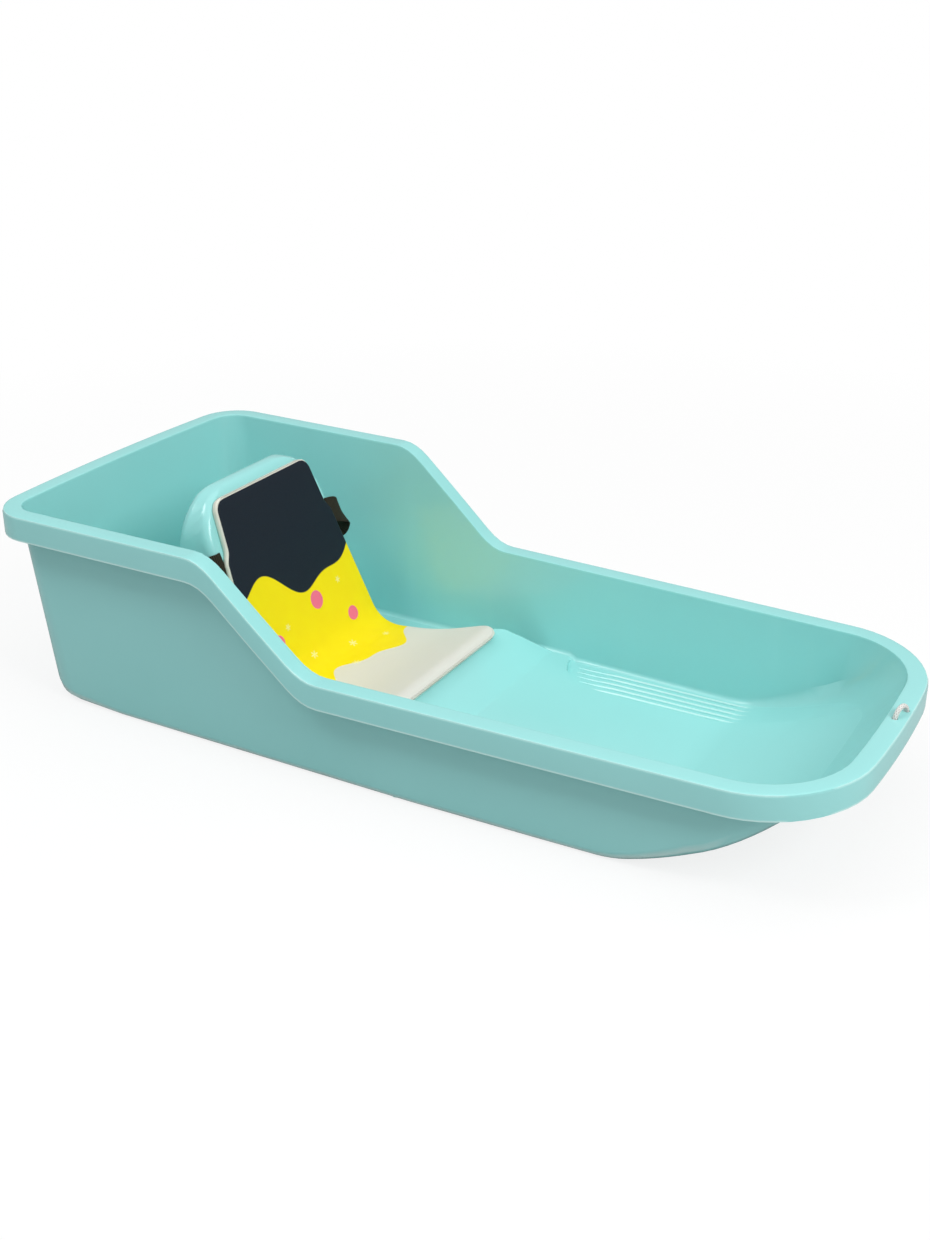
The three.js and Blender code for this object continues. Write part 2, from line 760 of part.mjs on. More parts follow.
// The elastic band leaves the pad's left edge, goes round the backrest and comes back at the right
function strapStops() {
  const off = strap.clearance + strap.thickness / 2;
  const round = seat.sideRound;
  const low = strap.rearHeight;
  const faceNormal = new THREE.Vector2(1, faceLean).normalize();
  const sideNormal = new THREE.Vector2(1, draftShare).normalize();
  const rearNormal = new THREE.Vector2(1, (seat.rearTop - seat.rearFoot) / seat.topHeight).normalize();
  const faceOut = [faceNormal.x, 0, faceNormal.y];
  const rearOut = [-rearNormal.x, 0, rearNormal.y];
  const mix = (a, b) => a.map((value, i) => (value + b[i]) / 2);
  const cornerShare = 1 - Math.SQRT1_2;
  const sideStops = (side, z, bulge) => {
    const sideOut = [0, side * sideNormal.x, sideNormal.y];
    const x = faceAt(z);
    const start = padHalfAt(z - strap.width / 2) + fitGap;
    const onSide = (share, out) => {
      const height = lerp(z, low, share);
      const station = lerp(x - round, rearFaceAt(height) + round, share);
      return [station, side * (seatHalfAt(station, height) + off + out), height];
    };
    const corner = (station, height, outX, faceTo) => ({
      at: [station + outX, side * (seatHalfAt(station, height) - round * cornerShare + 2 * off), height],
      face: mix(faceTo, sideOut),
    });
    return [
      { at: [x + faceNormal.x * off, side * start, z + faceNormal.y * off], face: faceOut },
      corner(x, z, off - round * cornerShare, faceOut),
      ...outShares.map((share, i) => ({
        at: onSide(((i + 1) / (outShares.length + 1)) ** strap.crowding, bulge * share),
        face: sideOut,
      })),
      corner(rearFaceAt(low), low, round * cornerShare - 2 * off, rearOut),
      { at: [rearFaceAt(low) - 2 * off, side * (seatHalfAt(rearFaceAt(low), low) - 2 * round), low], face: rearOut },
    ];
  };
  const middle = { at: [rearFaceAt(low) - off, 0, low], face: rearOut };
  const right = sideStops(-1, strap.rightHeight, strap.rightBulge);
  const left = sideStops(1, strap.leftHeight, strap.leftBulge);
  return [...right, middle, ...left.reverse()];
}

// The free run of the cord: a round tube through the points of its route
const cordFloor = cord.diameter / 2 + cord.lift;
const routeAt = ([back, side, share]) => [rim.length - back, side, lerp(cordFloor, rim.frontHeight, share)];

function cordRunGeometry() {
  const points = cordRoute.map((stop) => new THREE.Vector3(...routeAt(stop)));
  const path = new THREE.CatmullRomCurve3(points, false, "centripetal");
  const outline = Array.from({ length: cord.tubeSides }, (_, i) => {
    const turn = (i / cord.tubeSides) * Math.PI * 2;
    return new THREE.Vector2(Math.cos(turn), Math.sin(turn)).multiplyScalar(cord.diameter / 2);
  });
  const settings = { steps: cord.tubeSteps, extrudePath: path, bevelEnabled: false };
  return new THREE.ExtrudeGeometry(new THREE.Shape(outline), settings);
}

// The coil starts where the run ends: inwards on the ground, up a layer, and outwards again
const routeEnd = routeAt(cordRoute.at(-1));
const coilOuter = coil.meanDiameter / 2 + (coil.pitch * coil.turnsPerLayer) / 2;
const coilInner = coilOuter - coil.pitch * coil.turnsPerLayer;
const coilCentre = [routeEnd[0] - fitGap - cord.diameter, routeEnd[1] + coilOuter];
const coilTurns = 2 * coil.turnsPerLayer + coil.tailTurns;
const tailHeight = knot.diameter / 2 + cord.lift;

function coilPath() {
  const climbReach = 0.25;
  const points = [[routeEnd[0] - fitGap, routeEnd[1], cordFloor]];
  for (let i = 0; i <= coilTurns * coil.stepsPerTurn; i++) {
    const turned = i / coil.stepsPerTurn;
    const climb = smooth(turned, coil.turnsPerLayer - climbReach, coil.turnsPerLayer + climbReach);
    const fall = smooth(turned, coilTurns - 2 * climbReach, coilTurns);
    const reach = coilInner + coil.pitch * Math.abs(turned - coil.turnsPerLayer) + coil.tailFlare * fall;
    const height = lerp(cordFloor + coil.pitch * climb, tailHeight, fall);
    const angle = -Math.PI / 2 - turned * Math.PI * 2;
    points.push([coilCentre[0] + reach * Math.cos(angle), coilCentre[1] + reach * Math.sin(angle), height]);
  }
  const [x, y, z] = points.at(-1);
  points.push([x, y - cord.diameter, z]);
  return points;
}

// The least gap between turns that lie beside or on each other
function leastGap(points) {
  const places = points.map((point) => new THREE.Vector3(...point));
  const apart = coil.stepsPerTurn / 2;
  let least = Infinity;
  places.forEach((place, i) => {
    for (let j = i + apart; j < places.length; j++) least = Math.min(least, place.distanceTo(places[j]));
  });
  return least - cord.diameter;
}

function coilGeometry() {
  const centres = coilPath();
  console.log(`tow_cord_coil: least gap to itself ${leastGap(centres).toFixed(2)} mm`);
  const places = centres.map((point) => new THREE.Vector3(...point));
  const up = new THREE.Vector3(0, 0, 1);
  const rings = places.map((place, i) => {
    const along = places[Math.min(i + 1, places.length - 1)].clone().sub(places[Math.max(i - 1, 0)]);
    const sideways = along.normalize().clone().cross(up).normalize();
    const above = sideways.clone().cross(along);
    return Array.from({ length: coil.sides }, (_, k) => {
      const turn = ((k + 0.5) / coil.sides) * Math.PI * 2;
      const out = sideways.clone().multiplyScalar(Math.cos(turn)).addScaledVector(above, Math.sin(turn));
      return out.multiplyScalar(cord.diameter / 2).add(place).toArray();
    });
  });
  const skin = new Skin();
  skin.sheet(rings, true);
  skin.fan([...rings[0]].reverse());
  skin.fan(rings.at(-1));
  return geometryOf(skin.solid());
}

// A barrel knot of a few wraps, standing on the origin with its axis upright
function knotGeometry() {
  const stepsPerWrap = 4;
  const steps = knot.wraps * stepsPerWrap;
  const profile = [new THREE.Vector2(0, 0)];
  for (let i = 0; i <= steps; i++) {
    const share = i / steps;
    const belly = lerp(knot.endShare, 1, Math.sin(share * Math.PI));
    const groove = knot.grooveShare * Math.sin(share * Math.PI) * Math.abs(Math.cos(share * knot.wraps * Math.PI));
    profile.push(new THREE.Vector2((knot.diameter / 2) * (belly - groove), knot.length * share));
  }
  profile.push(new THREE.Vector2(0, knot.length));
  return new THREE.LatheGeometry(profile, knot.sides).rotateX(Math.PI / 2);
}

function stopperKnotGeometry() {
  const [x, y] = routeAt(cordRoute[0]);
  return knotGeometry().translate(x + knot.offset, y, rim.frontHeight - wall - fitGap - knot.length);
}

function endKnotGeometry() {
  const [x, y, z] = coilPath().at(-1);
  return knotGeometry().rotateX(Math.PI / 2).translate(x, y - fitGap, z);
}

// Materials
const finish = (color, roughness, metalness = 0) =>
  new THREE.MeshStandardMaterial({ color, roughness, metalness });
const finishes = {
  tub: finish("#8fd8d2", 0.35),
  foam: finish("#e6e3d2", 0.9),
  print: finish("#f2da1d", 0.6),
  band: finish("#2b2622", 0.85),
  cord: finish("#f3f3ee", 0.8),
};

function piece(name, geometry, material, place = [0, 0, 0]) {
  const mesh = new THREE.Mesh(geometry, material);
  mesh.name = name;
  mesh.position.set(...place);
  return mesh;
}

const sled = new THREE.Group();
sled.position.x = -rim.length / 2;
sled.add(
  piece("sled_shell", shellGeometry(), finishes.tub),
  piece("seat_pad_foam", foamGeometry(), finishes.foam),
  piece("seat_pad_print", printGeometry(), finishes.print),
  piece("pad_strap", ribbonGeometry(strapStops(), strap.width, strap.thickness), finishes.band),
  piece("tow_cord_stopper_knot", stopperKnotGeometry(), finishes.cord),
  piece("tow_cord_run", cordRunGeometry(), finishes.cord),
  piece("tow_cord_coil", coilGeometry(), finishes.cord),
  piece("tow_cord_end_knot", endKnotGeometry(), finishes.cord),
);

const part = new THREE.Group();
part.add(sled);

export default part;
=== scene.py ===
import math
import bpy
from mathutils import Matrix, Vector


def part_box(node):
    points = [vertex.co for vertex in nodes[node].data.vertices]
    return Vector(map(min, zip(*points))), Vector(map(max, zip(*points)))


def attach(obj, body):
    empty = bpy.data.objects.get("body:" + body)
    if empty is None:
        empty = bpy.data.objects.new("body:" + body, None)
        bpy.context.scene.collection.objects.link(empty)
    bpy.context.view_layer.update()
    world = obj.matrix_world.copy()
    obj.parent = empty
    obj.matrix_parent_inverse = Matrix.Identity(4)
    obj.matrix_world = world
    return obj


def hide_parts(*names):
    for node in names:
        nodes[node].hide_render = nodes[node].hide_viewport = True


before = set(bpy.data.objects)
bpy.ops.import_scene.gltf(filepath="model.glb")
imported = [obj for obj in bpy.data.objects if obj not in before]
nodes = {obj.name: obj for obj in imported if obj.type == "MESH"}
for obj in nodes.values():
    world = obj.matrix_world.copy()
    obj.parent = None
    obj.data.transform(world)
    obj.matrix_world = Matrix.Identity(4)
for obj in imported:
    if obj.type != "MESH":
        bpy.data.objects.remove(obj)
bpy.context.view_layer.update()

mm = 0.001
halfLength = 0.444  # stations are counted from the rear edge of the rim
flatUnit = 100  # millimetres to one unit of the flat coordinates of the mat and the strap

print("stage: camera")
camera = {
    "at": (0.70904, -1.25571, 0.78149),
    "right": (0.870433, 0.492274, 0.003627),
    "up": (-0.210739, 0.365947, 0.906461),
    "lens": 46.264,
    "sensor": 36,
}


def makeCamera():
    data = bpy.data.cameras.new("photoCamera")
    data.lens = camera["lens"]
    data.sensor_width = camera["sensor"]
    eye = bpy.data.objects.new("photoCamera", data)
    bpy.context.scene.collection.objects.link(eye)
    right = Vector(camera["right"])
    up = Vector(camera["up"])
    back = right.cross(up)
    turn = Matrix((right, up, back)).transposed().to_4x4()
    eye.matrix_world = Matrix.Translation(camera["at"]) @ turn
    bpy.context.scene.camera = eye


makeCamera()


# Meshes
def meshPiece(name, points, faces, uvs=None):
    mesh = bpy.data.meshes.new(name)
    mesh.from_pydata([tuple(point) for point in points], [], faces)
    if uvs:
        layer = mesh.uv_layers.new(name="flat")
        for face in mesh.polygons:
            for corner, vertex in zip(face.loop_indices, face.vertices):
                layer.data[corner].uv = uvs[vertex]
    mesh.polygons.foreach_set("use_smooth", [True] * len(mesh.polygons))
    mesh.validate()
    piece = bpy.data.objects.new(name, mesh)
    bpy.context.scene.collection.objects.link(piece)
    return piece


# Faces of a tube whose rings of points follow each other, with a cap at each end
def tubeFaces(rings, sides):
    faces = []
    for i in range(rings - 1):
        for k in range(sides):
            a, b = i * sides + k, i * sides + (k + 1) % sides
            faces.append((a, b, b + sides, a + sides))
    last = (rings - 1) * sides
    faces.append(tuple(reversed(range(sides))))
    faces.append(tuple(range(last, last + sides)))
    return faces


# Points on a centripetal spline through the stops, as many on each stretch
def splineFine(stops, steps=20):
    path = [Vector(stop) for stop in stops]
    path = [path[0] * 2 - path[1]] + path + [path[-1] * 2 - path[-2]]
    fine = []
    for a, b, c, d in zip(path, path[1:], path[2:], path[3:]):
        ab, bc, cd = [max((q - p).length ** 0.5, 1e-6) for p, q in ((a, b), (b, c), (c, d))]
        leave = (b - a) / ab - (c - a) / (ab + bc) + (c - b) / bc
        reach = (c - b) / bc - (d - b) / (bc + cd) + (d - c) / cd
        leave, reach = leave * bc, reach * bc
        for i in range(steps):
            t = i / steps
            fine.append(
                b * (2 * t**3 - 3 * t**2 + 1) + leave * (t**3 - 2 * t**2 + t)
                + c * (3 * t**2 - 2 * t**3) + reach * (t**3 - t**2)
            )
    fine.append(path[-2])
    return fine


# Points at even distances along a line of finer ones
def evenPoints(fine, spacing):
    along = [0.0]
    for p, q in zip(fine, fine[1:]):
        along.append(along[-1] + (q - p).length)
    count = max(int(round(along[-1] / spacing)), 2)
    points, k = [], 0
    for i in range(count + 1):
        at = along[-1] * i / count
        while k + 2 < len(along) and along[k + 1] < at:
            k += 1
        share = (at - along[k]) / max(along[k + 1] - along[k], 1e-9)
        points.append(fine[k].lerp(fine[k + 1], min(max(share, 0), 1)))
    return points


def directionAt(points, i):
    return (points[min(i + 1, len(points) - 1)] - points[max(i - 1, 0)]).normalized()


def around(side, other, turn):
    return side * math.cos(turn) + other * math.sin(turn)


# From 0 to 1 as the value goes from start to end, without a corner at either
def smoothStep(value, start, end):
    share = min(max((value - start) / (end - start), 0), 1)
    return share * share * (3 - 2 * share)


# A round tube that follows the points without twist; its flat coordinates are turns and metres
def tubePiece(name, points, radius, sides):
    verts, uvs = [], []
    along = 0.0
    side = directionAt(points, 0).orthogonal()
    for i, point in enumerate(points):
        ahead = directionAt(points, i)
        side = (side - ahead * side.dot(ahead)).normalized()
        other = ahead.cross(side)
        if i:
            along += (point - points[i - 1]).length
        for k in range(sides):
            verts.append(point + around(side, other, 2 * math.pi * k / sides) * radius)
            uvs.append((k / sides, along))
    return meshPiece(name, verts, tubeFaces(len(points), sides), uvs)


print("stage: cord")
cord = {
    "radius": 2.3 * mm,
    "sides": 14,
    "spacing": 1.5 * mm,
    "floor": 2.4 * mm,
    "exit": (0.4322, 0.0085, 0.1080),
    "route": [
        (0.4322, 0.0085, 0.1080),
        (0.4322, 0.0085, 0.1100),
        (0.4325, 0.0098, 0.1139),
        (0.4335, 0.0134, 0.1176),
        (0.4348, 0.0183, 0.1190),
        (0.4361, 0.0231, 0.1176),
        (0.4371, 0.0267, 0.1139),
        (0.4374, 0.0280, 0.1090),
        (0.4372, 0.0280, 0.1030),
        (0.4352, 0.0280, 0.0965),
        (0.4305, 0.0280, 0.0867),
        (0.4185, 0.0280, 0.0653),
        (0.4025, 0.0280, 0.0427),
        (0.3825, 0.0280, 0.0225),
        (0.3605, 0.0280, 0.0088),
        (0.3425, 0.0280, 0.0033),
        (0.3305, 0.0280, 0.0024),
        (0.3209, 0.0280, 0.0024),
    ],
    "coilAcross": 52 * mm,
    "coilGap": 0.3 * mm,
    "turnsPerLayer": 3,
    "climbTurns": 0.5,
    "pitch": 5.5 * mm,
    "stepsPerTurn": 36,
    "tailTurns": 0.75,
    "flareTurns": 0.5,
    "tailFlare": 5 * mm,
    "tailHeight": 5 * mm,
}


# Inwards on the ground, up a layer at the middle, outwards again, and out to the free end
def coilPoints():
    turns = cord["turnsPerLayer"]
    pitch = cord["pitch"]
    outer = cord["coilAcross"] / 2 + pitch * turns / 2
    inner = outer - pitch * turns
    middleX = cord["route"][-1][0] - cord["coilGap"] - 2 * cord["radius"]
    middleY = cord["route"][-1][1] + outer
    total = 2 * turns + cord["tailTurns"]
    points = []
    for i in range(int(total * cord["stepsPerTurn"]) + 1):
        turned = i / cord["stepsPerTurn"]
        climb = smoothStep(turned, turns - cord["climbTurns"] / 2, turns + cord["climbTurns"] / 2)
        flare = smoothStep(turned, total - cord["flareTurns"], total)
        reach = inner + pitch * abs(turned - turns) + cord["tailFlare"] * flare
        height = (cord["floor"] + pitch * climb) * (1 - flare) + cord["tailHeight"] * flare
        angle = -math.pi / 2 - turned * 2 * math.pi
        x, y = middleX + reach * math.cos(angle), middleY + reach * math.sin(angle)
        points.append(Vector((x, y, height)))
    points.append(points[-1] - Vector((0, 2 * cord["radius"], 0)))
    return points


knot = {
    "across": 9.8 * mm,
    "length": 10 * mm,
    "wraps": 2.6,
    "drawnIn": 0.25,  # how much narrower the knot is at its ends
    "squeeze": 0.92,
    "steps": 64,
    "spacing": 0.7 * mm,
    "sides": 12,
}


# A barrel knot: the cord wound round itself a few times
def wrapKnot(name, base, axis):
    axis = Vector(axis).normalized()
    side = axis.orthogonal().normalized()
    other = axis.cross(side)
    radius = cord["radius"] * knot["squeeze"]
    reach = knot["across"] / 2 - radius
    stops = []
    for i in range(knot["steps"] + 1):
        share = i / knot["steps"]
        swell = 1 - knot["drawnIn"] * (2 * share - 1) ** 2
        rise = radius + (knot["length"] - 2 * radius) * share
        out = around(side, other, share * knot["wraps"] * 2 * math.pi) * reach * swell
        stops.append(Vector(base) + axis * rise + out)
    return tubePiece(name, evenPoints(stops, knot["spacing"]), radius, knot["sides"])


routePoints = evenPoints(splineFine(cord["route"]), cord["spacing"])
wholePath = evenPoints(routePoints + coilPoints(), cord["spacing"])
cordPiece = tubePiece("towCord", wholePath, cord["radius"], cord["sides"])
stopperLow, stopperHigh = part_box("tow_cord_stopper_knot")
endLow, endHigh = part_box("tow_cord_end_knot")
stopperBase = ((stopperLow[0] + stopperHigh[0]) / 2, (stopperLow[1] + stopperHigh[1]) / 2, stopperHigh[2])
endBase = ((endLow[0] + endHigh[0]) / 2, endHigh[1], (endLow[2] + endHigh[2]) / 2)
stopperKnot = wrapKnot("towCordStopperKnot", stopperBase, (0, 0, -1))
endKnot = wrapKnot("towCordEndKnot", endBase, (0, -1, 0))
for piece in (cordPiece, stopperKnot, endKnot):
    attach(piece, "sled")
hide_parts("tow_cord_run", "tow_cord_coil")
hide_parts("tow_cord_stopper_knot")
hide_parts("tow_cord_end_knot")


# Node materials: small builders first
def nodeTree(name):
    material = bpy.data.materials.new(name)
    material.use_nodes = True
    tree = material.node_tree
    shader = tree.nodes["Principled BSDF"]
    return material, tree, shader


def add(tree, kind, **values):
    node = tree.nodes.new(kind)
    for key, value in values.items():
        setattr(node, key, value)
    return node


def wire(tree, source, target):
    tree.links.new(source, target)


def mathNode(tree, operation, *values):
    node = add(tree, "ShaderNodeMath", operation=operation)
    for socket, value in zip(node.inputs, values):
        if isinstance(value, (int, float)):
            socket.default_value = value
        else:
            wire(tree, value, socket)
    return node.outputs[0]


def mixColour(tree, share, a, b):
    node = add(tree, "ShaderNodeMix", data_type="RGBA")
    for socket, value in ((node.inputs[0], share), (node.inputs[6], a), (node.inputs[7], b)):
        if isinstance(value, tuple):
            socket.default_value = (*value, 1)
        else:
            wire(tree, value, socket)
    return node.outputs[2]


# A colour as it looks on screen, from 0 to 255, as linear light
def colour(red, green, blue):
    return tuple(
        (value / 255 / 12.92) if value / 255 <= 0.04045 else ((value / 255 + 0.055) / 1.055) ** 2.4
        for value in (red, green, blue)
    )


def noise(tree, vector, scale, detail, roughness=0.5):
    node = add(tree, "ShaderNodeTexNoise")
    node.inputs["Scale"].default_value = scale
    node.inputs["Detail"].default_value = detail
    node.inputs["Roughness"].default_value = roughness
    wire(tree, vector, node.inputs["Vector"])
    return node.outputs["Fac"]


def remap(tree, value, low, high, newLow, newHigh):
    node = add(tree, "ShaderNodeMapRange", clamp=True)
    for key, number in (("From Min", low), ("From Max", high), ("To Min", newLow), ("To Max", newHigh)):
        node.inputs[key].default_value = number
    wire(tree, value, node.inputs["Value"])
    return node.outputs["Result"]


# 1 where the value lies within reach of the middle, falling to 0 over the softness
def within(tree, value, middle, reach, softness):
    off = mathNode(tree, "ABSOLUTE", mathNode(tree, "SUBTRACT", value, middle))
    return remap(tree, off, reach - softness, reach, 1.0, 0.0)


def bump(tree, height, strength, distance):
    node = add(tree, "ShaderNodeBump")
    node.inputs["Strength"].default_value = strength
    node.inputs["Distance"].default_value = distance
    wire(tree, height, node.inputs["Height"])
    return node.outputs["Normal"]


def components(tree, vector):
    parts = add(tree, "ShaderNodeSeparateXYZ")
    wire(tree, vector, parts.inputs[0])
    return parts.outputs["X"], parts.outputs["Y"], parts.outputs["Z"]


# A wave from -1 to 1, and the same from 0 to 1
def wave(tree, turns):
    return mathNode(tree, "SINE", mathNode(tree, "MULTIPLY", turns, 2 * math.pi))


def raised(tree, value):
    return mathNode(tree, "MULTIPLY_ADD", value, 0.5, 0.5)


def objectPlace(tree):
    return add(tree, "ShaderNodeTexCoord").outputs["Object"]


def flatPlace(tree):
    return add(tree, "ShaderNodeUVMap", uv_map="flat").outputs["UV"]


def makeGroup(name, inputs, outputs):
    group = bpy.data.node_groups.new(name, "ShaderNodeTree")
    for title, kind, value in inputs:
        socket = group.interface.new_socket(name=title, in_out="INPUT", socket_type=kind)
        if value is not None:
            socket.default_value = value
    for title, kind in outputs:
        group.interface.new_socket(name=title, in_out="OUTPUT", socket_type=kind)
    return group, group.nodes.new("NodeGroupInput"), group.nodes.new("NodeGroupOutput")


def useGroup(tree, group, vector, **values):
    node = add(tree, "ShaderNodeGroup", node_tree=group)
    wire(tree, vector, node.inputs["Vector"])
    for key, value in values.items():
        node.inputs[key].default_value = value
    return node


# The fine skin of moulded plastic or foam: a height and a slow blotch, both from 0 to 1
def grainGroup():
    group, inside, outside = makeGroup(
        "grain",
        [
            ("Vector", "NodeSocketVector", None),
            ("Fine", "NodeSocketFloat", 900.0),
            ("Slow", "NodeSocketFloat", 6.0),
        ],
        [("Height", "NodeSocketFloat"), ("Blotch", "NodeSocketFloat")],
    )
    for scale, detail, result in (("Fine", 3, "Height"), ("Slow", 2, "Blotch")):
        clouds = add(group, "ShaderNodeTexNoise")
        clouds.inputs["Detail"].default_value = detail
        wire(group, inside.outputs["Vector"], clouds.inputs["Vector"])
        wire(group, inside.outputs[scale], clouds.inputs["Scale"])
        wire(group, clouds.outputs["Fac"], outside.inputs[result])
    return group


# Threads across and along flat coordinates: a height from 0 to 1
def weaveGroup():
    group, inside, outside = makeGroup(
        "weave",
        [
            ("Vector", "NodeSocketVector", None),
            ("Across", "NodeSocketFloat", 600.0),
            ("Along", "NodeSocketFloat", 600.0),
        ],
        [("Height", "NodeSocketFloat")],
    )
    x, y = components(group, inside.outputs["Vector"])[:2]
    across = wave(group, mathNode(group, "MULTIPLY", x, inside.outputs["Across"]))
    along = wave(group, mathNode(group, "MULTIPLY", y, inside.outputs["Along"]))
    height = raised(group, mathNode(group, "MULTIPLY", across, along))
    wire(group, height, outside.inputs["Height"])
    return group


grain = grainGroup()
weave = weaveGroup()
blotchSpan = (0.3, 0.7)  # where nearly all of the slow noise lies


# Colour and bump of a grained surface
def grainedSkin(tree, finish):
    skin = useGroup(tree, grain, objectPlace(tree), Fine=finish["fineGrain"], Slow=finish["slowGrain"])
    blotch = remap(tree, skin.outputs["Blotch"], *blotchSpan, 0.0, 1.0)
    base = mixColour(tree, blotch, finish["deep"], finish["colour"])
    return base, bump(tree, skin.outputs["Height"], *finish["grainBump"])


print("stage: tub")
tub = {
    "colour": colour(160, 226, 224),
    "deep": colour(156, 223, 221),
    "paintedHighlightColour": colour(206, 243, 240),  # painted highlight on the rib crests and along the rim's edges
    "fineGrain": 420.0,
    "slowGrain": 5.0,
    "grainBump": (0.12, 0.4 * mm),
    "specular": 0.5,
    "roughness": (0.155, 0.2),
    "scuffs": {"scale": 90.0, "detail": 5.0, "roughness": 0.6, "span": (0.3, 0.75)},
    "sharpAngle": math.radians(38),
    "joinWithin": 0.01 * mm,
    # the ribs' settings place the painted highlight on their crests
    "ribs": {
        "count": 5,
        "pitch": 9.6 * mm,
        "first": 117 * mm,  # from the middle line to the first crest
        "from": 86 * mm,
        "to": 258 * mm,
        "below": 50 * mm,
        "fades": {"across": 0.4 * mm, "along": 20 * mm, "up": 3 * mm},
        "marginShare": 0.45,
        "crest": (0.45, 0.95),
        "facingUp": (0.2, 0.5),
        "paintedHighlight": 0.9,
    },
    # rim: where the painted highlight lines lie along the skirt's top edge and lower lip
    "rim": {
        "side": 165 * mm,  # the skirt lies further out than these
        "end": 425 * mm,
        "fade": 4 * mm,
        "rounding": 4 * mm,
        "samples": 8,
        # how far the rounded surface looks up, under the lip and at the top edge, where the highlight is
        # painted
        "under": (-0.4, -0.15),
        "over": {"middle": 0.6, "reach": 0.25, "softness": 0.12},
        "outward": (20 * mm, 60 * mm),
        "overShare": 0.75,
    },
}


# Where the crests of the ribs that face up are painted pale, a painted highlight, as a mask
def ribCrestHighlights(tree, place):
    ribs = tub["ribs"]
    fades = ribs["fades"]
    x, y, z = components(tree, place)
    side = mathNode(tree, "ABSOLUTE", y)
    turn = mathNode(tree, "SUBTRACT", side, ribs["first"])
    turn = mathNode(tree, "MULTIPLY", turn, 2 * math.pi / ribs["pitch"])
    crest = remap(tree, mathNode(tree, "COSINE", turn), *ribs["crest"], 0.0, ribs["paintedHighlight"])
    halfSpread = ribs["pitch"] * (ribs["count"] - 1) / 2
    halfRun = (ribs["to"] - ribs["from"]) / 2
    margin = ribs["pitch"] * ribs["marginShare"]
    normal = add(tree, "ShaderNodeNewGeometry").outputs["True Normal"]
    for share in (
        within(tree, side, ribs["first"] + halfSpread, halfSpread + margin, fades["across"]),
        within(tree, x, ribs["from"] + halfRun, halfRun, fades["along"]),
        remap(tree, z, ribs["below"] - fades["up"], ribs["below"], 1.0, 0.0),
        # only crests that face up are painted pale: a painted highlight
        remap(tree, components(tree, normal)[2], *ribs["facingUp"], 0.0, 1.0),
    ):
        crest = mathNode(tree, "MULTIPLY", crest, share)
    return crest


# Painted highlights: pale lines where the rim's skirt rounds over at the top and under at its lower lip, as
# a mask
def rimEdgeHighlights(tree, place):
    rim = tub["rim"]
    x, y = components(tree, place)[:2]
    skirt = [
        remap(tree, mathNode(tree, "ABSOLUTE", axis), rim[edge] - rim["fade"], rim[edge], 0.0, 1.0)
        for axis, edge in ((y, "side"), (x, "end"))
    ]
    rounded = add(tree, "ShaderNodeBevel", samples=rim["samples"])
    rounded.inputs["Radius"].default_value = rim["rounding"]
    normalX, normalY, normalZ = components(tree, rounded.outputs[0])
    under = remap(tree, normalZ, *rim["under"], 1.0, 0.0)
    over = within(tree, normalZ, **rim["over"])
    outward = mathNode(tree, "MULTIPLY", x, normalX)
    outward = mathNode(tree, "MULTIPLY_ADD", y, normalY, outward)
    over = mathNode(tree, "MULTIPLY", over, remap(tree, outward, *rim["outward"], 0.0, rim["overShare"]))
    lines = mathNode(tree, "MAXIMUM", under, over)
    return mathNode(tree, "MULTIPLY", mathNode(tree, "MAXIMUM", *skirt), lines)


def tubMaterial():
    material, tree, shader = nodeTree("tubPlastic")
    place = objectPlace(tree)
    base, skin = grainedSkin(tree, tub)
    # painted highlights on the rib crests and along the rim's edges, mixed over the plastic's colour
    paintedHighlight = mathNode(tree, "MAXIMUM", ribCrestHighlights(tree, place), rimEdgeHighlights(tree, place))
    wire(tree, mixColour(tree, paintedHighlight, base, tub["paintedHighlightColour"]), shader.inputs["Base Color"])
    scuffs = noise(tree, place, tub["scuffs"]["scale"], tub["scuffs"]["detail"], tub["scuffs"]["roughness"])
    gloss = remap(tree, scuffs, *tub["scuffs"]["span"], *tub["roughness"])
    wire(tree, gloss, shader.inputs["Roughness"])
    shader.inputs["Specular IOR Level"].default_value = tub["specular"]
    wire(tree, skin, shader.inputs["Normal"])
    return material


# Modifier nodes that join the facets' corners and shade the mesh smooth up to an angle
def softenedEdges():
    group = bpy.data.node_groups.new("softenedEdges", "GeometryNodeTree")
    for way in ("INPUT", "OUTPUT"):
        group.interface.new_socket(name="Geometry", in_out=way, socket_type="NodeSocketGeometry")
    inside = add(group, "NodeGroupInput")
    bare = add(group, "GeometryNodeRemoveAttribute")
    bare.inputs["Name"].default_value = "custom_normal"
    join = add(group, "GeometryNodeMergeByDistance")
    join.inputs["Distance"].default_value = tub["joinWithin"]
    faces = add(group, "GeometryNodeSetShadeSmooth", domain="FACE")
    edges = add(group, "GeometryNodeSetShadeSmooth", domain="EDGE")
    outside = add(group, "NodeGroupOutput")
    chain = [inside, bare, join, faces, edges, outside]
    for before, after in zip(chain, chain[1:]):
        wire(group, before.outputs[0], after.inputs["Geometry"])
    bend = add(group, "GeometryNodeInputMeshEdgeAngle")
    flat = add(group, "FunctionNodeCompare", data_type="FLOAT", operation="LESS_THAN")
    flat.inputs[1].default_value = tub["sharpAngle"]
    wire(group, bend.outputs["Unsigned Angle"], flat.inputs[0])
    wire(group, flat.outputs[0], edges.inputs["Shade Smooth"])
    return group


def softenShading(piece):
    soften = piece.modifiers.new("softenedEdges", "NODES")
    soften.node_group = softenedEdges()
    weigh = piece.modifiers.new("weightedNormals", "WEIGHTED_NORMAL")
    weigh.keep_sharp = True


shell = nodes["sled_shell"]
shell.material_slots[0].material = tubMaterial()
softenShading(shell)


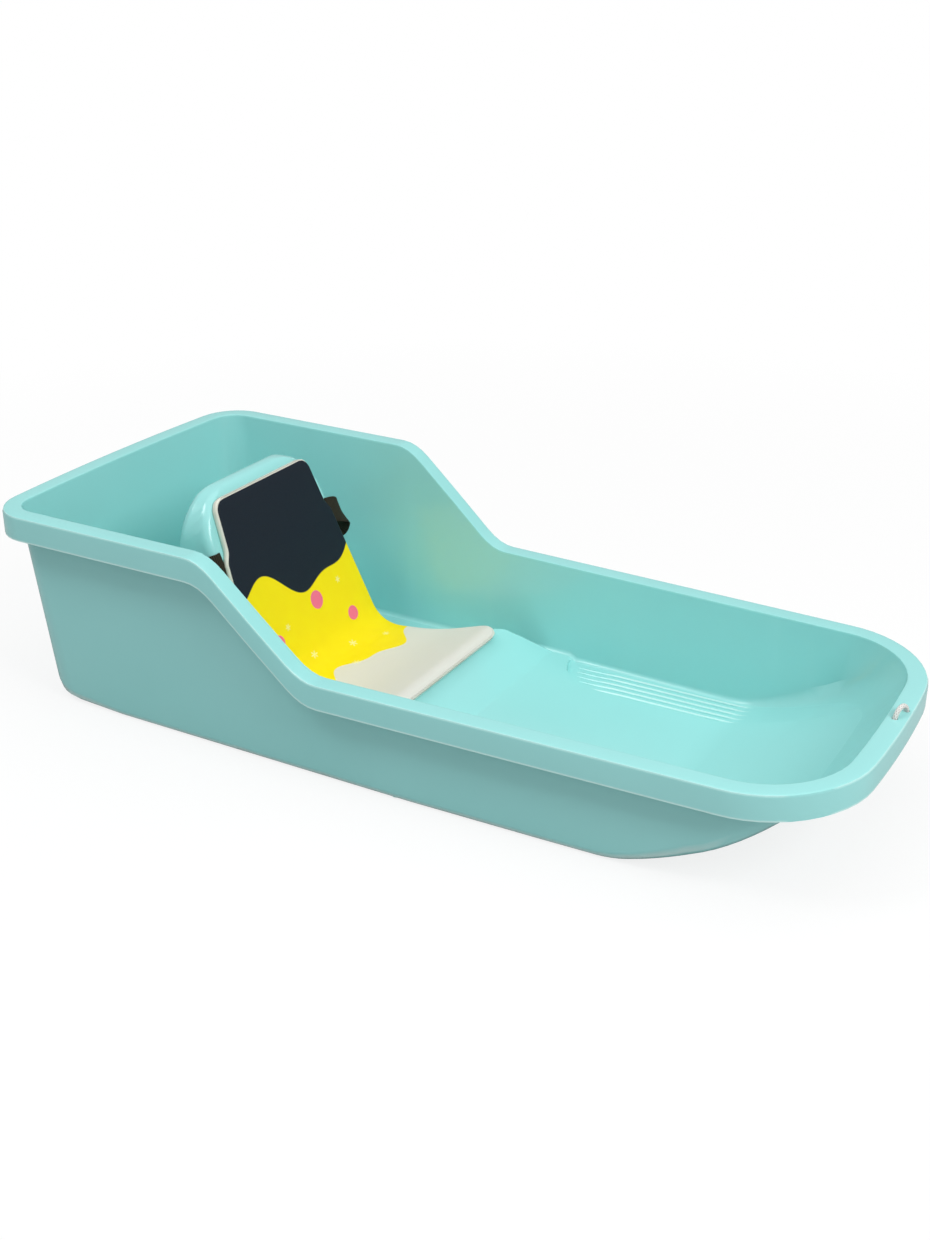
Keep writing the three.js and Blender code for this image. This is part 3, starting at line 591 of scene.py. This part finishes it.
print("stage: pad")
pad = {  # lengths in millimetres
    "top": 214,
    "front": 419.5,
    "topCorner": 13,
    "frontCorner": 20,
    "marks": [(214, 80), (168, 86), (152, 93.5), (50, 107)],  # height and half width down the back
    "frontHalf": 122,
    "stepRise": 5,  # the half width steps out smoothly where it grows by more than this
    "stepRun": 25,  # over less than this
    "gap": 0.3,
    "foam": 6.6,
    "foamRound": 1.5,
    "edgeShare": 0.88,
    "sidePower": 6,  # the higher, the nearer to the edge the foam thins
    "endPower": 4,
    "thinningReach": 3,  # in thicknesses of the foam
    "border": 1.7,
    "print": 1.1,
    "printRound": 0.9,
    "printGap": 0.05,
    "printSpread": 0.97,
    "undercut": 0.35,  # how much of an edge's rounding is on its lower side
    "spacing": 2.6,
    "slack": 0.01,  # so that rounding leaves no stop out
    "columns": 64,
    "crowding": 0.55,  # how much closer the columns stand at the edges
    # The backrest and seat line under the pad: station, height and how far each bend reaches
    "under": [(193.3, 222, 0), (272.3, 17, 33), (348, 22, 28), (414.5, 42, 5.5), (448, 18.5, 0)],
}


def roundedLine(corners, steps=14):
    points = []
    for i, (x, z, reach) in enumerate(corners):
        here = Vector((x, z))
        if not reach:
            points.append(here)
            continue
        start = here + (Vector(corners[i - 1][:2]) - here).normalized() * reach
        end = here + (Vector(corners[i + 1][:2]) - here).normalized() * reach
        for k in range(steps + 1):
            t = k / steps
            points.append(start * (1 - t) ** 2 + here * 2 * t * (1 - t) + end * t * t)
    return points


# Stops down the backrest and along the seat: place, outward normal and distance from the top
def padLine():
    line = [point.to_3d() for point in roundedLine(pad["under"])]
    lean = (line[1] - line[0]).normalized()
    line[0] = line[0] + lean * ((pad["top"] - line[0].y) / lean.y)
    cut = [point for point in line if point.x < pad["front"]]
    before, after = cut[-1], line[len(cut)]
    cut.append(before.lerp(after, (pad["front"] - before.x) / (after.x - before.x)))
    fine = evenPoints(cut, pad["spacing"])
    # one more stop at each end, where the print begins
    fine.insert(1, fine[0].lerp(fine[1], pad["border"] / (fine[1] - fine[0]).length))
    fine.insert(-1, fine[-1].lerp(fine[-2], pad["border"] / (fine[-2] - fine[-1]).length))
    rows, along = [], 0.0
    for i, point in enumerate(fine):
        ahead = directionAt(fine, i)
        if i:
            along += (point - fine[i - 1]).length
        rows.append({"at": point, "normal": Vector((-ahead.y, ahead.x, 0)), "along": along})
    return rows


# Adds each stop's half width and its distance from the nearer end
def halfWidths(rows):
    total = rows[-1]["along"]
    slant = rows[1]["along"] / (rows[0]["at"].y - rows[1]["at"].y)
    marks = [((pad["top"] - z) * slant, half) for z, half in pad["marks"]] + [(total, pad["frontHalf"])]
    for row in rows:
        s = row["along"]
        (a, halfA), (b, halfB) = next(pair for pair in zip(marks, marks[1:]) if s <= pair[1][0] + 1e-6)
        stepsOut = halfB - halfA > pad["stepRise"] and b - a < pad["stepRun"]
        share = smoothStep(s, a, b) if stepsOut else (s - a) / (b - a)
        row["half"] = halfA + (halfB - halfA) * share
        row["end"] = min(s, total - s)
    return rows


# How far a quarter circle stands back from the tangent, at a distance from its end
def cornerCut(distance, radius):
    return radius - math.sqrt(max(radius**2 - (radius - distance) ** 2, 0)) if distance < radius else 0


padRows = halfWidths(padLine())


# A closed mat along the pad's line with rounded edges
def matPiece(name, inset, lowerAt, thicknessAt, edgeRound):
    columns = pad["columns"]
    start, end = inset - pad["slack"], padRows[-1]["along"] - inset + pad["slack"]
    rows = [row for row in padRows if start <= row["along"] <= end]
    first, last = rows[0]["along"], rows[-1]["along"]
    verts, faces, uvs = [], [], []
    grid = []
    for row in rows:
        s = row["along"]
        topCut = cornerCut(s - first, pad["topCorner"] - inset)
        frontCut = cornerCut(last - s, pad["frontCorner"] - inset)
        half = row["half"] - inset - topCut - frontCut
        for k in range(columns + 1):
            crowded = -math.cos(math.pi * k / columns)
            share = pad["crowding"] * crowded + (1 - pad["crowding"]) * (2 * k / columns - 1)
            across = share * half
            toEdge = min(half - abs(across), s - first, last - s)
            grid.append((row, across, share, cornerCut(toEdge, edgeRound)))

    def layer(rise):
        before = len(verts)
        for row, across, share, rounded in grid:
            place = row["at"] + row["normal"] * rise(row, share, rounded)
            verts.append(Vector((place.x * mm - halfLength, across * mm, place.y * mm)))
            uvs.append((across / flatUnit, row["along"] / flatUnit))
        return before

    def lowerRise(row, share, rounded):
        return lowerAt(row, share) + rounded * pad["undercut"]

    def upperRise(row, share, rounded):
        return lowerAt(row, share) + thicknessAt(row, share) - rounded * (1 - pad["undercut"])

    width = columns + 1
    deep = len(rows)
    lower = layer(lowerRise)
    upper = layer(upperRise)
    for i in range(deep - 1):
        for k in range(columns):
            a = i * width + k
            faces.append((upper + a, upper + a + 1, upper + a + 1 + width, upper + a + width))
            faces.append((lower + a, lower + a + width, lower + a + 1 + width, lower + a + 1))

    def edgeFace(a, b, flip):
        quad = (upper + a, upper + b, lower + b, lower + a)
        faces.append(tuple(reversed(quad)) if flip else quad)

    for i in range(deep - 1):
        edgeFace(i * width, (i + 1) * width, False)
        edgeFace(i * width + columns, (i + 1) * width + columns, True)
    lastRow = (deep - 1) * width
    for k in range(columns):
        edgeFace(k, k + 1, False)
        edgeFace(lastRow + k, lastRow + k + 1, True)
    return meshPiece(name, verts, faces, uvs)


def foamThickness(row, share):
    side = 1 - abs(share) ** pad["sidePower"]
    toEnd = min(row["end"] / (pad["thinningReach"] * pad["foam"]), 1)
    end = 1 - (1 - toEnd) ** pad["endPower"]
    return pad["foam"] * (pad["edgeShare"] + (1 - pad["edgeShare"]) * side * end)


foam = matPiece("seatPadFoam", 0, lambda row, share: pad["gap"], foamThickness, pad["foamRound"])
face = matPiece(
    "seatPadFace",
    pad["border"],
    lambda row, share: pad["gap"] + foamThickness(row, share * pad["printSpread"]) + pad["printGap"],
    lambda row, share: pad["print"],
    pad["printRound"],
)

foamFinish = {
    "colour": colour(233, 232, 220),
    "deep": colour(222, 221, 205),
    "fineGrain": 1400.0,
    "slowGrain": 24.0,
    "grainBump": (0.5, 0.6 * mm),
    "roughness": 0.9,
    "sheen": 0.15,
}


def foamMaterial():
    material, tree, shader = nodeTree("padFoam")
    base, skin = grainedSkin(tree, foamFinish)
    wire(tree, base, shader.inputs["Base Color"])
    wire(tree, skin, shader.inputs["Normal"])
    shader.inputs["Roughness"].default_value = foamFinish["roughness"]
    shader.inputs["Sheen Weight"].default_value = foamFinish["sheen"]
    return material


foam.data.materials.append(foamMaterial())


# The printed face: generic fields and dots in flat coordinates
art = {
    "night": colour(24, 33, 44),
    "meadow": colour(252, 230, 2),
    "shade": colour(251, 227, 2),
    "drift": colour(222, 221, 212),
    "dot": colour(246, 118, 146),
    "flake": colour(250, 244, 170),
    # a field's edge: how far down it lies, and the size, pitch and shift of its waves
    "hillEdge": (1.12, [(0.16, 3.3, 0.7), (0.07, 7.1, 2.0)]),
    "driftEdge": (2.48, [(0.13, 4.2, -1.0), (0.045, 11.0, 0.4)]),
    "edgeSoft": 0.006,
    # across, along and radius
    "dots": [(-0.62, 1.62, 0.085), (0.16, 1.43, 0.1), (0.66, 1.78, 0.085)],
    "flakes": [
        (-0.2, 1.95, 0.055), (0.38, 2.12, 0.06), (-0.72, 2.24, 0.055), (0.82, 2.3, 0.045),
        (0.05, 2.42, 0.05), (-0.42, 1.52, 0.04), (0.6, 1.36, 0.04), (-0.93, 1.9, 0.045),
    ],
    "petals": 6,
    "petalShare": 0.42,
    "flakeShare": 0.75,
    "spotSoft": 0.004,
    "mottling": {"scale": 5.0, "detail": 3.0, "span": (0.35, 0.65)},
    "rubbing": {"scale": 60.0, "detail": 4.0, "span": (0.3, 0.7)},
    "roughness": (0.5, 0.62),
    "specular": 0.2,
    "threads": 110.0,
    "threadBump": (0.18, 0.3 * mm),
}


# 1 past a rolling edge, whose place is a sum of sine waves
def pastEdge(tree, across, along, edge):
    place, waves = edge
    for size, pitch, shift in waves:
        phase = mathNode(tree, "MULTIPLY_ADD", across, pitch, shift)
        place = mathNode(tree, "MULTIPLY_ADD", mathNode(tree, "SINE", phase), size, place)
    past = mathNode(tree, "SUBTRACT", along, place)
    return remap(tree, past, -art["edgeSoft"], art["edgeSoft"], 0.0, 1.0)


# A round dot, or a flake with petals, as a mask
def spot(tree, across, along, x, y, radius, petals=0):
    dx = mathNode(tree, "SUBTRACT", across, x)
    dy = mathNode(tree, "SUBTRACT", along, y)
    far = mathNode(tree, "SQRT", mathNode(tree, "MULTIPLY_ADD", dx, dx, mathNode(tree, "MULTIPLY", dy, dy)))
    edge = radius
    if petals:
        turn = mathNode(tree, "MULTIPLY", mathNode(tree, "ARCTAN2", dy, dx), petals)
        depth = radius * art["petalShare"]
        edge = mathNode(tree, "MULTIPLY_ADD", mathNode(tree, "COSINE", turn), depth, radius - depth)
    inwards = mathNode(tree, "SUBTRACT", edge, far)
    return remap(tree, inwards, -art["spotSoft"], art["spotSoft"], 0.0, 1.0)


def clouds(tree, vector, kind, newLow, newHigh):
    speckle = noise(tree, vector, kind["scale"], kind["detail"])
    return remap(tree, speckle, *kind["span"], newLow, newHigh)


def faceMaterial():
    material, tree, shader = nodeTree("padFace")
    flat = flatPlace(tree)
    across, along = components(tree, flat)[:2]
    tone = mixColour(tree, clouds(tree, flat, art["mottling"], 0.0, 1.0), art["meadow"], art["shade"])
    tone = mixColour(tree, pastEdge(tree, across, along, art["hillEdge"]), art["night"], tone)
    tone = mixColour(tree, pastEdge(tree, across, along, art["driftEdge"]), tone, art["drift"])
    for x, y, radius in art["dots"]:
        tone = mixColour(tree, spot(tree, across, along, x, y, radius), tone, art["dot"])
    for x, y, radius in art["flakes"]:
        flake = spot(tree, across, along, x, y, radius, art["petals"])
        tone = mixColour(tree, mathNode(tree, "MULTIPLY", flake, art["flakeShare"]), tone, art["flake"])
    wire(tree, tone, shader.inputs["Base Color"])
    wire(tree, clouds(tree, flat, art["rubbing"], *art["roughness"]), shader.inputs["Roughness"])
    shader.inputs["Specular IOR Level"].default_value = art["specular"]
    threads = useGroup(tree, weave, flat, Across=art["threads"], Along=art["threads"])
    wire(tree, bump(tree, threads.outputs["Height"], *art["threadBump"]), shader.inputs["Normal"])
    return material


face.data.materials.append(faceMaterial())
for piece, node, slotName in ((foam, "seat_pad_foam", "foam"), (face, "seat_pad_print", "printed_cover")):
    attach(piece, "pad")
    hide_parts(node)


print("stage: strap")
strap = {
    "width": 28 * mm,
    "thickness": 1.5 * mm,
    "edgePower": 0.35,  # the lower, the squarer the band's section
    "facePower": 0.7,
    # Down the left side, round behind the backrest and up the right side: where the middle of
    # the band runs (station, side and height), and the way its width points
    "stops": [
        ((221.4, 90.5, 153.5), (-0.36, 0, 0.93)),
        ((221.8, 97, 152.8), (-0.36, 0, 0.93)),
        ((222.4, 104.5, 151.2), (-0.36, -0.03, 0.93)),
        ((222.2, 112.5, 147.5), (-0.38, -0.1, 0.9)),
        ((220, 119.5, 142.5), (-0.4, -0.16, 0.88)),
        ((216.5, 123.5, 136), (-0.42, -0.18, 0.87)),
        ((213, 125.2, 129), (-0.42, -0.13, 0.88)),
        ((209.2, 125, 122.2), (-0.37, -0.08, 0.92)),
        ((202.8, 121, 118), (-0.3, 0, 0.95)),
        ((192.5, 116, 116.6), (-0.3, 0, 0.95)),
        ((182, 112, 116), (-0.3, 0, 0.95)),
        ((172, 109.6, 115.8), (-0.25, 0, 0.96)),
        ((164.8, 107.6, 115.8), (-0.15, 0, 0.98)),
        ((161, 103, 116), (0.05, 0, 1)),
        ((160.6, 95, 116), (0.1, 0, 0.99)),
        ((160.7, 50, 116), (0.1, 0, 0.99)),
        ((160.7, 0, 116), (0.1, 0, 0.99)),
        ((160.7, -50, 116), (0.1, 0, 0.99)),
        ((160.6, -95, 116), (0.1, 0, 0.99)),
        ((161, -103, 116), (0.05, 0, 1)),
        ((164.6, -107, 117), (-0.2, 0, 0.98)),
        ((177, -107.5, 124), (-0.4, 0, 0.9)),
        ((191, -107.4, 136), (-0.5, 0, 0.86)),
        ((203, -107.8, 146.5), (-0.5, 0, 0.86)),
        ((212, -107, 152.5), (-0.45, 0, 0.9)),
        ((218.6, -103.4, 155), (-0.38, 0, 0.92)),
        ((220.6, -98, 155.4), (-0.36, 0, 0.93)),
        ((220.4, -92.5, 155.4), (-0.36, 0, 0.93)),
    ],
    "steps": 6,
    "columns": 20,
    "dark": colour(17, 16, 13),
    # the lighter colour is a painted highlight on the rib crests; dark is the band's own colour
    "paintedRibHighlight": colour(52, 46, 32),
    "fleck": colour(92, 80, 50),
    "ribs": 48,  # to one unit of the flat coordinates, and so are the threads
    "threads": {"Across": 90.0, "Along": 96.0},
    "threadShare": 0.35,
    "flecks": {"scale": 140.0, "detail": 3.0, "span": (0.5, 0.8)},
    "fleckShare": 0.5,
    "roughness": (0.88, 0.72),  # in the grooves and on the ribs
    "ribsTop": 1.3,
    "specular": 0.25,
    "ribBump": (0.6, 0.6 * mm),
}


def flattened(value, power):
    return math.copysign(abs(value) ** power, value)


# A flat oval swept along the stops
def bandPiece(name):
    steps, columns = strap["steps"], strap["columns"]
    places = [Vector((x * mm - halfLength, y * mm, z * mm)) for (x, y, z), way in strap["stops"]]
    ways = [Vector(way) for place, way in strap["stops"]]
    points = splineFine(places, steps)
    verts, uvs = [], []
    along = 0.0
    for i, point in enumerate(points):
        ahead = directionAt(points, i)
        stretch = min(i // steps, len(ways) - 2)
        way = ways[stretch].lerp(ways[stretch + 1], i / steps - stretch)
        way = (way - ahead * way.dot(ahead)).normalized()
        out = ahead.cross(way)
        if i:
            along += (point - points[i - 1]).length
        for k in range(columns):
            turn = 2 * math.pi * k / columns
            wide = flattened(math.cos(turn), strap["edgePower"]) * strap["width"] / 2
            thick = flattened(math.sin(turn), strap["facePower"]) * strap["thickness"] / 2
            verts.append(point + way * wide + out * thick)
            uvs.append((wide / mm / flatUnit, along / mm / flatUnit))
    return meshPiece(name, verts, tubeFaces(len(points), columns), uvs)


def bandMaterial():
    material, tree, shader = nodeTree("strapElastic")
    flat = flatPlace(tree)
    along = components(tree, flat)[1]
    ribbing = raised(tree, wave(tree, mathNode(tree, "MULTIPLY", along, strap["ribs"])))
    threads = useGroup(tree, weave, flat, **strap["threads"])
    height = mathNode(tree, "MULTIPLY_ADD", threads.outputs["Height"], strap["threadShare"], ribbing)
    # the rib crests are painted lighter than the grooves, a painted highlight along the ribs
    tone = mixColour(tree, ribbing, strap["dark"], strap["paintedRibHighlight"])
    flecks = clouds(tree, flat, strap["flecks"], 0.0, strap["fleckShare"])
    wire(tree, mixColour(tree, flecks, tone, strap["fleck"]), shader.inputs["Base Color"])
    gloss = remap(tree, height, 0.0, strap["ribsTop"], *strap["roughness"])
    wire(tree, gloss, shader.inputs["Roughness"])
    shader.inputs["Specular IOR Level"].default_value = strap["specular"]
    wire(tree, bump(tree, height, *strap["ribBump"]), shader.inputs["Normal"])
    return material


band = bandPiece("padBand")
band.data.materials.append(bandMaterial())
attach(band, "pad")
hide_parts("pad_strap")


print("stage: cord finish")
braid = {
    "colour": colour(244, 244, 240),
    # deep: painted shade in the grooves between the strands; the strands' crowns keep the cord's own white
    "deep": colour(206, 206, 200),
    "strands": 6,
    "perMetre": 260,
    "span": (0.4, 1.0),
    "roughness": 0.7,
    "sheen": 0.1,
    "bump": (0.8, 0.7 * mm),
}


def cordMaterial():
    material, tree, shader = nodeTree("cordBraid")
    across, along = components(tree, flatPlace(tree))[:2]
    strands = mathNode(tree, "MULTIPLY", across, braid["strands"])
    lengthways = mathNode(tree, "MULTIPLY", along, braid["perMetre"])
    leftHanded = raised(tree, wave(tree, mathNode(tree, "ADD", lengthways, strands)))
    rightHanded = raised(tree, wave(tree, mathNode(tree, "SUBTRACT", lengthways, strands)))
    height = mathNode(tree, "MAXIMUM", leftHanded, rightHanded)
    # the grooves between the strands are painted darker, a painted shade
    tone = mixColour(tree, remap(tree, height, *braid["span"], 0.0, 1.0), braid["deep"], braid["colour"])
    wire(tree, tone, shader.inputs["Base Color"])
    shader.inputs["Roughness"].default_value = braid["roughness"]
    shader.inputs["Sheen Weight"].default_value = braid["sheen"]
    wire(tree, bump(tree, height, *braid["bump"]), shader.inputs["Normal"])
    return material


braidMaterial = cordMaterial()
for piece in (cordPiece, stopperKnot, endKnot):
    piece.data.materials.append(braidMaterial)


print("stage: studio")
studio = {
    "floorSize": 40,
    "floorSteps": 20,
    "floorDrop": 0.4 * mm,
    "floorRoughness": 0.9,
    "floorSeen": colour(250, 250, 250),
    "floorBounce": colour(190, 190, 190),
    "skyStrength": 0.4,
    "whiteFrom": (0.5, 0.82),  # distance, and how much white shows over the floor's own shade
    "whiteTo": (1.5, 1.0),
    "lamps": [
        # name, place, what it looks at, size, watts, colour
        ("topLamp", (0.0, 0.0, 2.6), (0.0, 0.0, 0.1), 3.6, 25, (1.0, 1.0, 1.0)),
        ("bowLamp", (2.3, -0.6, 2.0), (0.0, 0.0, 0.1), 1.4, 42, (1.0, 0.995, 0.99)),
        ("sternLamp", (-1.3, -1.2, 2.4), (0.0, 0.0, 0.1), 1.0, 17, (0.99, 0.995, 1.0)),
    ],
}


# Adds a plain white shader over another one, by a share, in front of the output
def whiteOver(tree, kind, shader, share, output):
    white = add(tree, kind)
    white.inputs["Color"].default_value = (1, 1, 1, 1)
    white.inputs["Strength"].default_value = 1.0
    blend = add(tree, "ShaderNodeMixShader")
    wire(tree, share, blend.inputs[0])
    wire(tree, shader.outputs[0], blend.inputs[1])
    wire(tree, white.outputs[0], blend.inputs[2])
    wire(tree, blend.outputs[0], output.inputs["Surface"])


def makeFloor():
    half = studio["floorSize"] / 2
    steps = studio["floorSteps"]
    stops = [half * (2 * i / steps - 1) for i in range(steps + 1)]
    points = [(x, y, -studio["floorDrop"]) for x in stops for y in stops]
    faces = []
    for i in range(steps):
        for k in range(steps):
            a = i * (steps + 1) + k
            faces.append((a, a + steps + 1, a + steps + 2, a + 1))
    floor = meshPiece("studioFloor", points, faces)
    material, tree, shader = nodeTree("studioPaper")
    seenByCamera = add(tree, "ShaderNodeLightPath").outputs["Is Camera Ray"]
    paper = mixColour(tree, seenByCamera, studio["floorBounce"], studio["floorSeen"])
    wire(tree, paper, shader.inputs["Base Color"])
    shader.inputs["Roughness"].default_value = studio["floorRoughness"]
    reach = add(tree, "ShaderNodeVectorMath", operation="LENGTH")
    wire(tree, add(tree, "ShaderNodeNewGeometry").outputs["Position"], reach.inputs[0])
    (near, nearShare), (far, farShare) = studio["whiteFrom"], studio["whiteTo"]
    white = remap(tree, reach.outputs["Value"], near, far, nearShare, farShare)
    share = mathNode(tree, "MULTIPLY", seenByCamera, white)
    whiteOver(tree, "ShaderNodeEmission", shader, share, tree.nodes["Material Output"])
    floor.data.materials.append(material)


def makeLamp(name, place, target, size, watts, tint):
    data = bpy.data.lights.new(name, "AREA")
    data.shape = "DISK"
    data.size = size
    data.energy = watts
    data.color = tint
    lamp = bpy.data.objects.new(name, data)
    bpy.context.scene.collection.objects.link(lamp)
    aim = Vector(target) - Vector(place)
    lamp.rotation_euler = aim.to_track_quat("-Z", "Y").to_euler()
    lamp.location = place


def makeWorld():
    world = bpy.data.worlds.new("studioSky")
    bpy.context.scene.world = world
    world.use_nodes = True
    tree = world.node_tree
    sky = tree.nodes["Background"]
    sky.inputs["Color"].default_value = (1, 1, 1, 1)
    sky.inputs["Strength"].default_value = studio["skyStrength"]
    seenByCamera = add(tree, "ShaderNodeLightPath").outputs["Is Camera Ray"]
    whiteOver(tree, "ShaderNodeBackground", sky, seenByCamera, tree.nodes["World Output"])


makeFloor()
for lamp in studio["lamps"]:
    makeLamp(*lamp)
makeWorld()
bpy.context.scene.view_settings.view_transform = "Standard"
